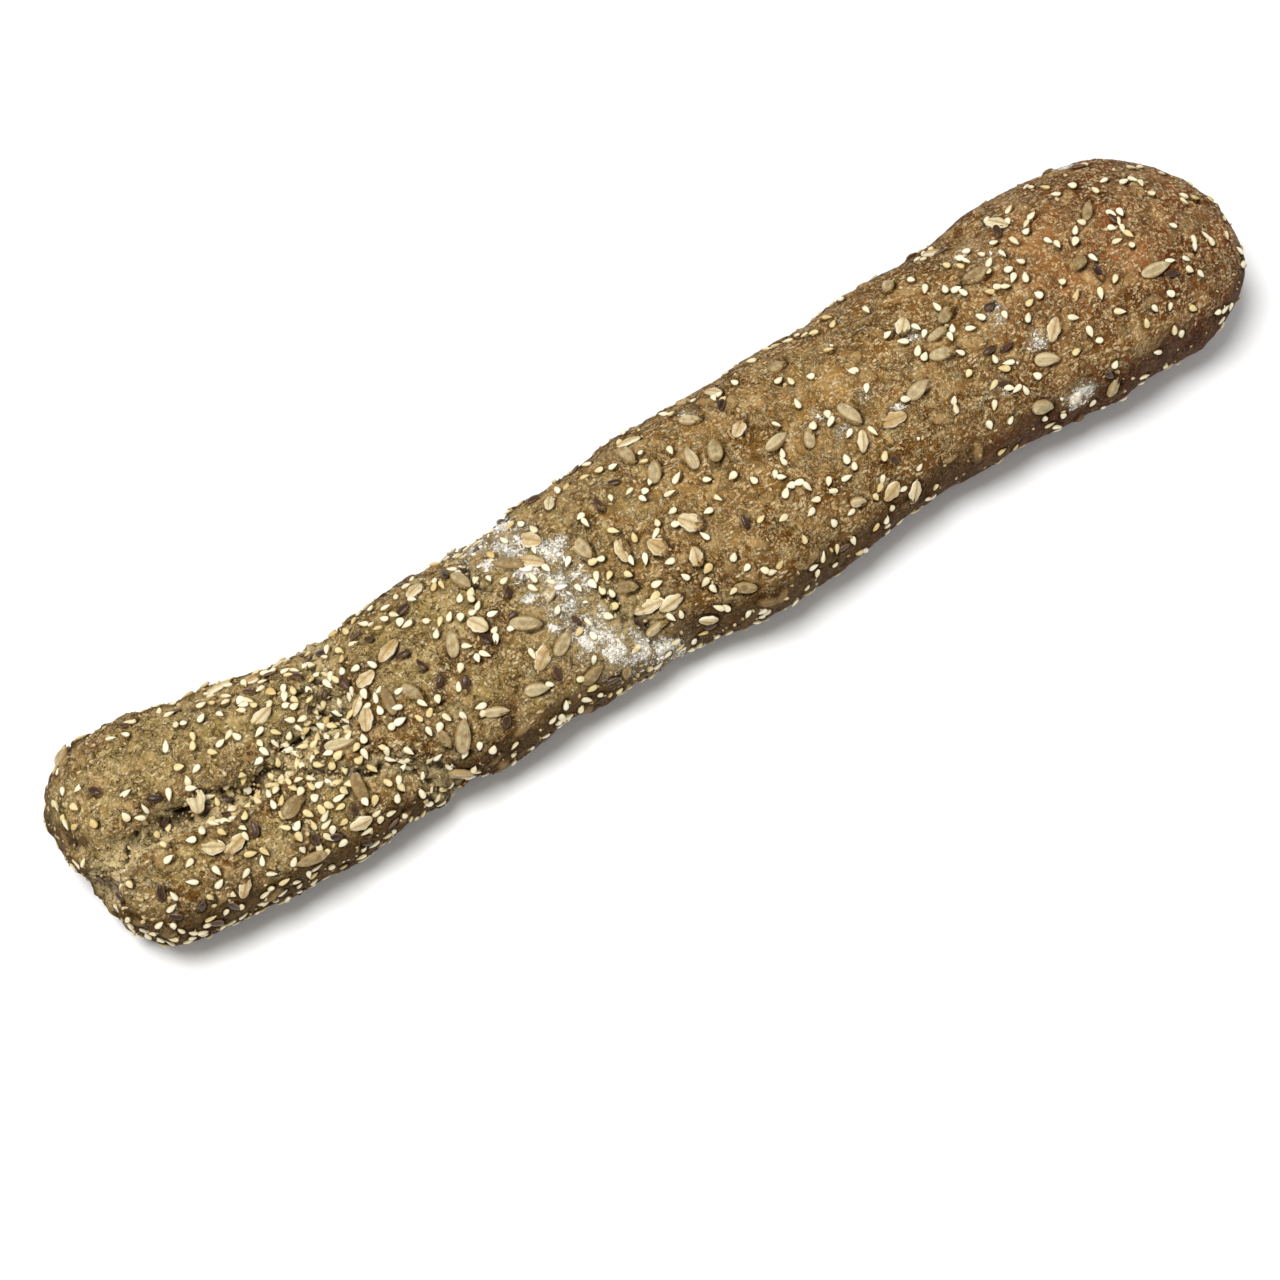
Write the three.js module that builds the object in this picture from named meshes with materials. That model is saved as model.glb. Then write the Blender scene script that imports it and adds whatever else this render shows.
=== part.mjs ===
// A seeded wholegrain baguette, twisted before baking and lying on its flat base.
// Millimetres. +X runs along the loaf towards its rounder end, +Y to its back and +Z up.
// The origin is on the surface it rests on, under the middle of the loaf.
import * as THREE from "three";

// Driving dimensions.
const LENGTH = 402; // tip to tip
const BASE_CUT = 1.6; // how far the weight of the dough has flattened the round underside
const SHOULDER = 0.44; // the widest level, as a share of the height
const MEAN_RADIUS = 30; // for distances round the loaf when it is unrolled flat

// How round a section is above and below its widest level: 1 is an ellipse, less fills the corners
// out, as the slumped underside does.
const UPPER_ROUNDING = 0.94;
const LOWER_ROUNDING = 0.8;

// The loaf's sections from its blunt end to its round end: place along the loaf, half its width,
// its height, and how far its middle lies from the straight line between the ends.
const SECTIONS = [
  { x: -186, half: 33.2, height: 44, side: 4 },
  { x: -166, half: 33.6, height: 45.5, side: 1.6 },
  { x: -150, half: 33.3, height: 44.5, side: -0.6 },
  { x: -134, half: 32, height: 42.5, side: -2.4 },
  { x: -118, half: 30, height: 40.5, side: -3.1 },
  { x: -106, half: 30.6, height: 40, side: -2.4 },
  { x: -90, half: 30.4, height: 41.5, side: -2.5 },
  { x: -68, half: 31.8, height: 42.5, side: -0.9 },
  { x: -48, half: 31, height: 41.5, side: -0.7 },
  { x: -11, half: 33.2, height: 44.5, side: -0.2 },
  { x: 20, half: 35.5, height: 46.5, side: -1.4 },
  { x: 44, half: 34.4, height: 46, side: 0 },
  { x: 63, half: 33.5, height: 45.5, side: 1.5 },
  { x: 98, half: 34.4, height: 46.5, side: 2.8 },
  { x: 122, half: 35.8, height: 48.5, side: 2.2 },
  { x: 140, half: 37, height: 50, side: 2.2 },
  { x: 172, half: 37, height: 50, side: 1.9 },
];

// The two ends. Each closes on a tip; the curve from tip to side is `reach` long and as square as
// `squareness` says (2 is round, more is blunter, less is a slope), at the front and at the back.
const BLUNT_END = {
  tipX: -LENGTH / 2,
  tipY: 23,
  tipZ: 18,
  front: { reach: 17, squareness: 2.2 },
  back: { reach: 17, squareness: 1.35 },
};
const ROUND_END = {
  tipX: LENGTH / 2,
  tipY: -9,
  tipZ: 21,
  front: { reach: 35, squareness: 2.12 },
  back: { reach: 54, squareness: 2.25 },
};

// Lines pressed into the dough. Each runs through points given as [place along the loaf, angle
// round it]; the angle is 0 at the back, 90 on top and 180 at the front.
const FURROWS = [
  // the tear where the crust burst along the top of the blunt end, and its side branch
  { depth: 4.6, width: 4.6, path: [[-206, 104], [-172, 102], [-150, 106], [-124, 95], [-113, 85]] },
  { depth: 1.8, width: 5, path: [[-150, 106], [-139, 88], [-128, 80]] },
  // the cleft between the two lobes of the blunt end
  { depth: 3.8, width: 5, path: [[-206, 250], [-204, 160], [-200, 104]] },
  // the seam of the twist at the neck, over the back and down the front
  { depth: 1.6, width: 5, path: [[-104, -60], [-107, 12], [-111, 50], [-113, 84]] },
  { depth: 2.6, width: 5, path: [[-124, 116], [-110, 127], [-103, 146], [-97, 168], [-88, 215]] },
  // the crease above the second lobe
  { depth: 1.1, width: 5, path: [[-68, 30], [-65, 47], [-62, 62]] },
  // the soft valley that holds the flour, winding over the loaf
  { depth: 2, width: 10, path: [[-62, 10], [-56, 55], [-38, 90], [-24, 122], [-14, 175]] },
  // the last turn of the twist, behind the round end
  { depth: 2, width: 6, path: [[64, -50], [84, -8], [108, 22], [124, 46]] },
];

// Low swellings left by the gas in the dough: height, then waves per 100 mm along and round.
const SWELLINGS = [
  { height: 0.42, along: 2.3, round: 2, phase: 0.6 },
  { height: 0.32, along: 3.7, round: 3, phase: 2.1 },
  { height: 0.15, along: 5.9, round: -5, phase: 4.4 },
];

// How finely the surface is divided.
const SIDES = 60;
const BODY_RINGS = 68;
const END_RINGS = 8;

const degrees = THREE.MathUtils.degToRad;
const mix = THREE.MathUtils.lerp;

// A smooth value between the sections for one of their measures.
function along(measure, x) {
  const last = SECTIONS.length - 1;
  const place = THREE.MathUtils.clamp(x, SECTIONS[0].x, SECTIONS[last].x);
  const next = Math.max(1, SECTIONS.findIndex((section) => section.x >= place));
  const at = (i) => SECTIONS[THREE.MathUtils.clamp(i, 0, last)];
  const [a, b] = [at(next - 1), at(next)];
  const share = (place - a.x) / (b.x - a.x);
  const slope = (i) => (at(i + 1)[measure] - at(i - 1)[measure]) / (at(i + 1).x - at(i - 1).x);
  const span = b.x - a.x;
  const [s2, s3] = [share * share, share * share * share];
  return (
    a[measure] * (2 * s3 - 3 * s2 + 1) +
    b[measure] * (3 * s2 - 2 * s3) +
    slope(next - 1) * span * (s3 - 2 * s2 + share) +
    slope(next) * span * (s3 - s2)
  );
}

// Distance over the surface from a place to a furrow, with the loaf unrolled flat.
function distanceTo(path, x, angle) {
  const flat = ([px, pa]) => new THREE.Vector3(px, degrees(pa) * MEAN_RADIUS, 0);
  const near = new THREE.Vector3();
  let least = Infinity;
  for (const turn of [-360, 0, 360]) {
    const here = flat([x, THREE.MathUtils.radToDeg(angle) + turn]);
    for (let i = 1; i < path.length; i += 1) {
      new THREE.Line3(flat(path[i - 1]), flat(path[i])).closestPointToPoint(here, true, near);
      least = Math.min(least, near.distanceTo(here));
    }
  }
  return least;
}

// How far the surface stands out from, or lies in from, the plain section.
function relief(x, angle) {
  let height = 0;
  for (const swelling of SWELLINGS) {
    const wave = (2 * Math.PI * swelling.along * x) / 100 + swelling.round * angle + swelling.phase;
    height += swelling.height * Math.sin(wave);
  }
  for (const furrow of FURROWS) {
    const share = distanceTo(furrow.path, x, angle) / furrow.width;
    height -= furrow.depth * Math.exp(-share * share);
  }
  return height;
}

// A point of the plain section at x, in the loaf's own frame.
function sectionPoint(x, angle) {
  const [half, height, side] = ["half", "height", "side"].map((measure) => along(measure, x));
  const level = height * SHOULDER;
  const [c, s] = [Math.cos(angle), Math.sin(angle)];
  const rounding = s > 0 ? UPPER_ROUNDING : LOWER_ROUNDING;
  const rise = s > 0 ? height - level : level + BASE_CUT;
  const out = relief(x, angle);
  return new THREE.Vector3(
    x,
    side + Math.sign(c) * Math.abs(c) ** rounding * half + c * out,
    level + Math.sign(s) * Math.abs(s) ** rounding * rise + s * out,
  );
}

// The length and squareness of an end's curve at this angle, between its front's and its back's.
function endCurve(end, angle) {
  const share = (1 + Math.cos(angle)) / 2;
  return {
    reach: mix(end.front.reach, end.back.reach, share),
    squareness: mix(end.front.squareness, end.back.squareness, share),
  };
}

// A point of an end, from its tip (0) to where the body starts (1).
function endPoint(end, share, angle) {
  const { reach, squareness } = endCurve(end, angle);
  const turn = (share * Math.PI) / 2;
  const spread = Math.sin(turn) ** (2 / squareness);
  const back = reach * (1 - Math.cos(turn) ** (2 / squareness));
  const rim = sectionPoint(end.tipX - Math.sign(end.tipX) * back, angle);
  const tip = new THREE.Vector3(rim.x, end.tipY, end.tipZ);
  return tip.lerp(rim, spread);
}

// Every ring of the surface, from the blunt tip to the round one.
function ringPoint(ring, angle) {
  if (ring <= END_RINGS) return endPoint(BLUNT_END, ring / END_RINGS, angle);
  const fromRound = 2 * END_RINGS + BODY_RINGS - ring;
  if (fromRound <= END_RINGS) return endPoint(ROUND_END, fromRound / END_RINGS, angle);
  const start = BLUNT_END.tipX + endCurve(BLUNT_END, angle).reach;
  const stop = ROUND_END.tipX - endCurve(ROUND_END, angle).reach;
  return sectionPoint(mix(start, stop, (ring - END_RINGS) / BODY_RINGS), angle);
}

// One closed skin: a point at each tip and rings of points between them.
function loafGeometry() {
  const rings = 2 * END_RINGS + BODY_RINGS;
  const points = [new THREE.Vector3(BLUNT_END.tipX, BLUNT_END.tipY, BLUNT_END.tipZ)];
  for (let ring = 1; ring < rings; ring += 1) {
    for (let side = 0; side < SIDES; side += 1) {
      points.push(ringPoint(ring, (2 * Math.PI * side) / SIDES));
    }
  }
  points.push(new THREE.Vector3(ROUND_END.tipX, ROUND_END.tipY, ROUND_END.tipZ));
  for (const point of points) point.z = Math.max(point.z, 0);

  const index = [];
  const at = (ring, side) => 1 + (ring - 1) * SIDES + (side % SIDES);
  for (let side = 0; side < SIDES; side += 1) {
    index.push(0, at(1, side + 1), at(1, side));
    index.push(points.length - 1, at(rings - 1, side), at(rings - 1, side + 1));
    for (let ring = 1; ring < rings - 1; ring += 1) {
      const [a, b] = [at(ring, side), at(ring, side + 1)];
      const [c, d] = [at(ring + 1, side), at(ring + 1, side + 1)];
      index.push(a, b, d, a, d, c);
    }
  }
  const geometry = new THREE.BufferGeometry().setFromPoints(points);
  geometry.setIndex(index);
  geometry.computeVertexNormals();
  return geometry;
}

// The baked loaf, moved sideways so that the origin is under the middle of its box.
function makeLoaf() {
  const crust = new THREE.MeshStandardMaterial({ color: "#9b7a4e", roughness: 0.8, metalness: 0 });
  const loaf = new THREE.Mesh(loafGeometry(), crust);
  loaf.name = "loaf";
  loaf.geometry.computeBoundingBox();
  const middle = loaf.geometry.boundingBox.getCenter(new THREE.Vector3());
  loaf.position.set(-middle.x, -middle.y, 0);
  return loaf;
}

const baguette = new THREE.Group();
baguette.add(makeLoaf());

export default baguette;
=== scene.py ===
"""A seeded wholegrain baguette: a twisted dough, torn open along one end and baked to a brown crust,
strewn with sesame, sunflower kernels, linseed and rolled grain flakes, and dusted with flour."""

import math

import bpy
import numpy as np
from mathutils import Matrix, Vector
from mathutils.bvhtree import BVHTree
from mathutils.kdtree import KDTree


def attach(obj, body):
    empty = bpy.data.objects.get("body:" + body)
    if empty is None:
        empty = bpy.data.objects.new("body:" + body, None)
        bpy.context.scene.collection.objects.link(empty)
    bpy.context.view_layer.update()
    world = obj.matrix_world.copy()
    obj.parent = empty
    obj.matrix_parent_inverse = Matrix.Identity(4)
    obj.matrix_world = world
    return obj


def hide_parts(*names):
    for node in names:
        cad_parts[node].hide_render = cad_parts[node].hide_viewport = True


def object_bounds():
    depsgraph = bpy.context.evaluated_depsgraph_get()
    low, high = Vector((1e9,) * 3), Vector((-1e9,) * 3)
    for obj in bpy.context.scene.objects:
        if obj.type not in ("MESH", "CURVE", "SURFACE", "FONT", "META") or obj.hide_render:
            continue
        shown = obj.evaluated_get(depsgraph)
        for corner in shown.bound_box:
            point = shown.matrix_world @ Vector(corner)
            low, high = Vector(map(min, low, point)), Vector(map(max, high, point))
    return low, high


bl_info = {
    "name": "Seeded Baguette",
    "version": (1, 0, 0),
    "blender": (4, 5, 0),
    "location": "View3D > Sidebar > Baguette",
    "description": "Bakes the crust of a twisted baguette and strews it with seeds, flakes and flour",
    "category": "Add Mesh",
}

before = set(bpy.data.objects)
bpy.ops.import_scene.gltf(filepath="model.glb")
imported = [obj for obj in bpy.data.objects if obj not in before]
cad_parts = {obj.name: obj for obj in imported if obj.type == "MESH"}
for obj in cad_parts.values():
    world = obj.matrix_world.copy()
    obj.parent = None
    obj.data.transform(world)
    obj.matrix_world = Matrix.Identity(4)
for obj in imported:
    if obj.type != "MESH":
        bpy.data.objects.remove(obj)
CAD_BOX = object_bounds()
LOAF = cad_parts["loaf"]

MM = 0.001
SHOULDER = 0.44  # the loaf's widest level, as a share of its height
BODY = (-175 * MM, 150 * MM)  # the stretch between the loaf's two rounded ends
CROWN_HIGHLIGHT = (136, 72)  # the crown of the round end, paler as a painted highlight: its place along and its angle round
DEGREE = 0.5  # millimetres round the loaf for each degree of angle
CRACK_DEPTH = 1.4  # millimetres for each unit of a crack's depth
ROOM = 3.6 * MM  # how far the large seeds that are strewn keep from the room of those laid before
FLOOR_GAP = 0.05 * MM  # from the floor up to the loaf's base, and from there to the lowest seed

# Lines on the loaf, as places along it in millimetres and angles round it in degrees: 0 is the
# back, 90 the top and 180 the front. A place beyond the blunt tip lies on the end face.
TEAR = ((-320, 200), (-250, 160), (-207, 117), (-190, 105), (-173, 103), (-157, 107), (-148, 104),
        (-140, 99), (-124, 89), (-116, 78))
NECK_SEAM = ((-108, -25), (-111, 10), (-113, 50), (-115, 67), (-116, 77))
FRONT_SEAM = ((-130, 109), (-125, 117), (-119, 122), (-112, 129), (-107, 136), (-105, 147),
              (-103, 158), (-99, 189), (-94, 215))
FLOUR_BAND = ((-62, 0), (-54, 30), (-48, 52), (-44, 76), (-42, 95), (-45, 118), (-42, 132),
              (-34, 148), (-27, 170), (-20, 205))

# Cracks: their route, how wide they are in millimetres, and their depth.
CRACKS = (
    (((-197, 112), (-192, 107), (-187, 103), (-182, 101)), 1.4, 2.2),
    (((-177, 104), (-171, 101), (-165, 104)), 1.8, 3.2),
    (((-158, 99), (-153, 102), (-147, 105), (-141, 101), (-136, 98)), 1.7, 3.2),
    (((-134, 91), (-131, 93), (-127, 90), (-123, 87)), 1.8, 2.8),
    (((-118, 76), (-116, 81), (-115, 88), (-115, 96)), 1.6, 3.4),
    (((-126, 70), (-121, 66), (-116, 60)), 1.2, 2.0),
    (((-112, 20), (-113, 40), (-115, 58), (-116, 74)), 1.7, 2.8),
    (FRONT_SEAM, 1.4, 3.0),
    (((-100, 150), (-97, 163), (-95, 180)), 1.7, 2.6),
    (((-62, 30), (-62, 45), (-63, 60), (-62, 72)), 1.5, 2.2),
    (((-33, 111), (-31, 117), (-32, 124), (-32, 131)), 1.7, 3.0),
    (((-28, 134), (-26, 143), (-27, 152), (-26, 163)), 1.8, 3.2),
    (((-260, 150), (-230, 135), (-209, 122)), 1.6, 2.6),
)

# Dabs of flour: place along, angle round, radius in millimetres and how thick they lie.
FLOUR_DABS = (
    (-56, 55, 3, 1.0), (-48, 76, 4, 1.1), (-52, 92, 3, 0.8), (-43, 94, 4, 1.1), (-37, 94, 3, 0.9),
    (-36, 102, 4, 0.7), (-50, 114, 3, 0.8), (-44, 129, 3, 1.0), (-38, 140, 5, 1.0), (-31, 153, 5, 1.0),
    (-47, 55, 5, 0.7), (-45, 36, 5, 0.9), (-39, 71, 4, 0.8), (-38, 77, 5, 0.9), (-24, 170, 5, 0.8),
    (-160, 128, 2, 0.7), (-75, 100, 3, 0.3), (112, 100, 6, 0.4), (117, 58, 5, 0.5), (122, 70, 5, 0.4),
    (131, 52, 4, 0.5), (118, 120, 5, 0.5), (124, 162, 6, 0.8), (88, 84, 5, 0.4), (49, 92, 4, 0.4),
    (164, 33, 3, 0.9), (52, 106, 3, 0.6), (100, 130, 5, 0.4), (-92, 22, 4, 0.4), (64, 98, 3, 0.4),
    (19, 48, 3, 0.6), (70, 112, 2, 0.8),
)

# Larger seeds that are placed one by one: place along, angle round, and which way they point on
# the surface, in degrees from the loaf's length towards its back.
KERNEL_PLACES = (
    (50, 53, -3), (57, 101, -70), (94, 90, 5), (92, 100, -15), (79, 110, 8), (33, 92, 15),
    (124, 161, 15), (-102, 98, 80), (-95, 103, -65), (-57, 104, -35), (-94, 135, -85),
    (-94, 169, -25), (-24, 150, 0), (-31, 85, -85), (-1, 71, 55), (112, 158, -40), (118, 131, -30),
    (161, 118, -10), (10, 75, 75), (17, 78, 60), (-64, 137, -30), (-78, 92, 60), (18, 53, -40),
    (-140, 122, 20), (43, 98, 55), (-89, 137, 55), (100, 84, 20),
)
FLAKE_PLACES = (
    (27, 75, 40), (-22, 99, 80), (-1, 104, -50), (-5, 122, 80), (-24, 134, -8), (124, 119, 45),
    (-110, 89, 30), (-110, 100, 60), (-42, 63, -50), (-159, 127, 15), (-135, 72, 20),
    (57, 149, 25), (-126, 148, -5), (-69, 90, -60), (-165, 123, -30), (-30, 48, 60),
    (-104, 80, 10), (-58, 124, 35),
)


def linear(code):
    """An sRGB hex colour as linear red, green, blue and alpha."""
    channels = [int(code[i:i + 2], 16) / 255 for i in (1, 3, 5)]
    return [c / 12.92 if c <= 0.04045 else ((c + 0.055) / 1.055) ** 2.4 for c in channels] + [1.0]


def ease(low, high, values):
    """0 below low, 1 above high and a smooth step between them."""
    share = np.clip((values - low) / (high - low), 0, 1)
    return share * share * (3 - 2 * share)


def noise(places, size, seed):
    """Smooth noise, about -1 to 1, whose swells are about `size` across."""
    rng = np.random.default_rng(seed)
    table = rng.permutation(256)
    slopes = rng.normal(size=(256, 3))
    slopes /= np.linalg.norm(slopes, axis=1, keepdims=True)
    scaled = places / size
    cell = np.floor(scaled).astype(int)
    part = scaled - cell
    fade = part ** 3 * (part * (part * 6 - 15) + 10)
    total = np.zeros(len(places))
    for corner in np.ndindex(2, 2, 2):
        x, y, z = ((cell + corner) & 255).T
        slope = slopes[table[(table[(table[x] + y) & 255] + z) & 255]]
        weight = np.where(corner, fade, 1 - fade).prod(axis=1)
        total += weight * ((part - corner) * slope).sum(axis=1)
    return total * 1.6


def pebbles(places, size, seed):
    """Distance to the nearest of many scattered points, one to each cube of side `size`, as a share
    of that side, and a number from 0 to 1 that is the point's own."""
    rng = np.random.default_rng(seed)
    table = rng.permutation(256)
    spots = rng.random((256, 4))
    scaled = places / size
    cell = np.floor(scaled).astype(int)
    nearest = np.full(len(places), 9.0)
    own = np.zeros(len(places))
    for step in np.ndindex(3, 3, 3):
        there = cell + step - 1
        x, y, z = (there & 255).T
        spot = spots[table[(table[(table[x] + y) & 255] + z) & 255]]
        distance = np.linalg.norm(there + spot[:, :3] - scaled, axis=1)
        closer = distance < nearest
        nearest[closer] = distance[closer]
        own[closer] = spot[closer, 3]
    return nearest, own


def numbers(items, name, width=1):
    """One property of every item of a Blender collection, as an array."""
    found = np.empty(len(items) * width)
    items.foreach_get(name, found)
    return found.reshape(-1, width) if width > 1 else found


class Sections:
    """The loaf's sections, read from its CAD solid: half its width, where its middle lies, its
    widest level and how far it rises above and falls below that."""

    def __init__(self, step=5 * MM):
        places = numbers(LOAF.data.vertices, "co", 3)
        self.x = np.arange(CAD_BOX[0][0] + step, CAD_BOX[1][0], step)
        near = [places[abs(places[:, 0] - x) < step] for x in self.x]
        low = np.array([p[:, 1].min() for p in near])
        high = np.array([p[:, 1].max() for p in near])
        top = np.array([p[:, 2].max() for p in near])
        self.half = (high - low) / 2
        self.side = (high + low) / 2
        self.level = top * SHOULDER
        self.rise = top - self.level

    def at(self, x):
        """Half the width, the middle, the widest level and the rise above it at a place along."""
        return [np.interp(x, self.x, v) for v in (self.half, self.side, self.level, self.rise)]

    def angle(self, places):
        """The angle round the loaf of each place, in degrees from 0 to 360."""
        half, side, level, rise = self.at(places[:, 0])
        up = places[:, 2] - level
        turned = np.arctan2(up / np.where(up > 0, rise, level), (places[:, 1] - side) / half)
        return np.degrees(turned) % 360

    def place(self, tree, x, angle):
        """The place on a skin at x millimetres along and an angle round, and its normal."""
        middle = min(max(x * MM, BODY[0]), BODY[1])
        half, side, level, rise = self.at(middle)
        turn = math.radians(angle)
        up = math.sin(turn) * (rise if math.sin(turn) > 0 else level)
        way = Vector((x * MM - middle, math.cos(turn) * half, up)).normalized()
        start = Vector((middle, side, level)) + way
        found, normal, _, _ = tree.ray_cast(start, -way)
        if found is None:
            raise RuntimeError(f"no skin at {x} mm and {angle} degrees")
        return np.array(found), np.array(normal)


SECTIONS = Sections()


def line_on(tree, route):
    """A route's points on the skin, with more points between them so that it follows the skin."""
    points = []
    for (x0, a0), (x1, a1) in zip(route[:-1], route[1:]):
        steps = 4
        for k in range(steps):
            share = k / steps
            points.append(SECTIONS.place(tree, x0 + (x1 - x0) * share, a0 + (a1 - a0) * share)[0])
    points.append(SECTIONS.place(tree, *route[-1])[0])
    return np.array(points)


def distance_to(places, line):
    """The least distance from each place to a line."""
    least = np.full(len(places), np.inf)
    for a, b in zip(line[:-1], line[1:]):
        run = b - a
        share = np.clip(((places - a) @ run) / max(run @ run, 1e-12), 0, 1)
        gap = places - a - share[:, None] * run
        least = np.minimum(least, np.sqrt((gap * gap).sum(axis=1)))
    return least


def bell(values, width):
    """1 where a value is nought, falling away smoothly to either side over about the width."""
    return np.exp(-(values / width) ** 2)


def add(tree, kind, settings=None, inputs=None, output=0):
    """Adds a node: its settings by name, and its inputs by name or number, each a value or an
    output of another node. Gives back the output asked for, or the node itself for None."""
    node = tree.nodes.new(kind)
    for name, value in (settings or {}).items():
        setattr(node, name, value)
    for name, value in (inputs or {}).items():
        if isinstance(value, bpy.types.NodeSocket):
            tree.links.new(value, node.inputs[name])
        else:
            node.inputs[name].default_value = value
    return node if output is None else node.outputs[output]


def new_material(name):
    """An empty node material and its tree."""
    material = bpy.data.materials.new(name)
    material.use_nodes = True
    material.node_tree.nodes.clear()
    return material, material.node_tree


def cover(tree, inputs):
    """Gives a material its surface: the usual shader, with these inputs, led to the output."""
    shader = add(tree, "ShaderNodeBsdfPrincipled", {}, inputs)
    add(tree, "ShaderNodeOutputMaterial", {}, {"Surface": shader}, None)


def level(tree, *terms, between=None):
    """A value for a material: the sum of its terms, each the product of its factors. Where two
    levels are given, it is eased from 0 at the first to 1 at the second."""
    total = None
    for value, *factors in terms:
        for factor in factors:
            value = add(tree, "ShaderNodeMath", {"operation": "MULTIPLY"}, {0: value, 1: factor})
        if total is not None:
            value = add(tree, "ShaderNodeMath", {"operation": "ADD"}, {0: total, 1: value})
        total = value
    if between is None:
        return total
    return add(tree, "ShaderNodeMapRange", {"interpolation_type": "SMOOTHSTEP"}, {
        "Value": total, "From Min": between[0], "From Max": between[1]})


def paint(tree, colour, *layers):
    """A colour with layers over it, each a colour and the shares whose product it covers with. Each
    colour is a hex code, a linear colour or an output."""
    for over, *shares in layers:
        under, over = (linear(c) if isinstance(c, str) else c for c in (colour, over))
        colour = add(tree, "ShaderNodeMix", {"data_type": "RGBA"}, {
            0: level(tree, shares), 6: under, 7: over}, 2)
    return colour


def per(size):
    """The texture scale that gives a pattern of that size in millimetres."""
    return 1000 / size


def crust_patterns(tree, where):
    """The crust's patterns by name: clouds, winding lines, and the grains of starch."""
    found = {}
    # Clouds: the size of their swells in millimetres, detail, roughness, twist and, where they are
    # eased from 0 to 1, the levels between which they are.
    for name, size, detail, fine, twist, *between in (
        ("browning", 20, 2, 0.55, 0), ("islands", 13, 4, 0.62, 0.5, 0.5, 0.66),
        ("light", 5, 5, 0.7, 0.6, 0.5, 0.66), ("dark", 3.2, 5, 0.7, 0, 0.52, 0.7),
        ("folded", 9, 3, 0.55, 0, 0.42, 0.6), ("crested", 7, 3, 0.55, 0, 0.45, 0.62),
        ("fibre lengths", 1.2, 3, 0.55, 0, 0.46, 0.56), ("fibrous", 6, 3, 0.55, 0, 0.32, 0.5),
        ("starchy along", 5.5, 3, 0.55, 0, 0.4, 0.56), ("starchy across", 4, 3, 0.55, 0, 0.42, 0.58),
        ("soot", 1.4, 3, 0.65, 1.3, 0.58, 0.66), ("shading", 5, 4, 0.7, 0),
        ("crumb", 1.9, 5, 0.75, 0, 0.36, 0.54), ("tearing", 3, 3, 0.55, 0), ("veil", 2, 4, 0.75, 0),
        ("coarse dust", 5, 2, 0.55, 0), ("fine dust", 0.9, 4, 0.75, 0), ("fine grain", 0.9, 4, 0.7, 0),
        ("coarse grain", 2.4, 3, 0.6, 0), ("dullness", 3.5, 3, 0.55, 0),
        ("folds", 3.4, 2, 0.6, 1.4), ("crests", 2.7, 2, 0.6, 1.4), ("fibres", 1.8, 2, 0.6, 1.4),
    ):
        cloud = add(tree, "ShaderNodeTexNoise", {}, {
            "Vector": where, "Scale": per(size), "Detail": detail, "Roughness": fine,
            "Distortion": twist})
        found[name] = level(tree, (cloud,), between=between or None)
    # Thin winding lines run where a cloud is at its middle level, each as wide as given.
    for name, width in (("folds", 0.05), ("crests", 0.045), ("fibres", 0.1)):
        off = add(tree, "ShaderNodeMath", {"operation": "ABSOLUTE"}, {
            0: level(tree, (found[name],), (-0.5,))})
        found[name] = level(tree, (off,), between=(width, 0))
    # Grains: dots, one to each cube of a size in millimetres, drawn out into dashes along the axis
    # whose stretch is least, and how far from its middle each ends.
    for name, size, stretch, end in (
        ("starch along", 1.6, (0.5, 1.1, 1.0), 0.34), ("starch across", 1.5, (1.1, 0.6, 0.9), 0.32),
    ):
        drawn = add(tree, "ShaderNodeVectorMath", {"operation": "MULTIPLY"}, {0: where, 1: stretch})
        dots = add(tree, "ShaderNodeTexVoronoi", {}, {"Vector": drawn, "Scale": per(size)})
        found[name] = level(tree, (dots,), between=(end, 0.2))
    return found


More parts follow.
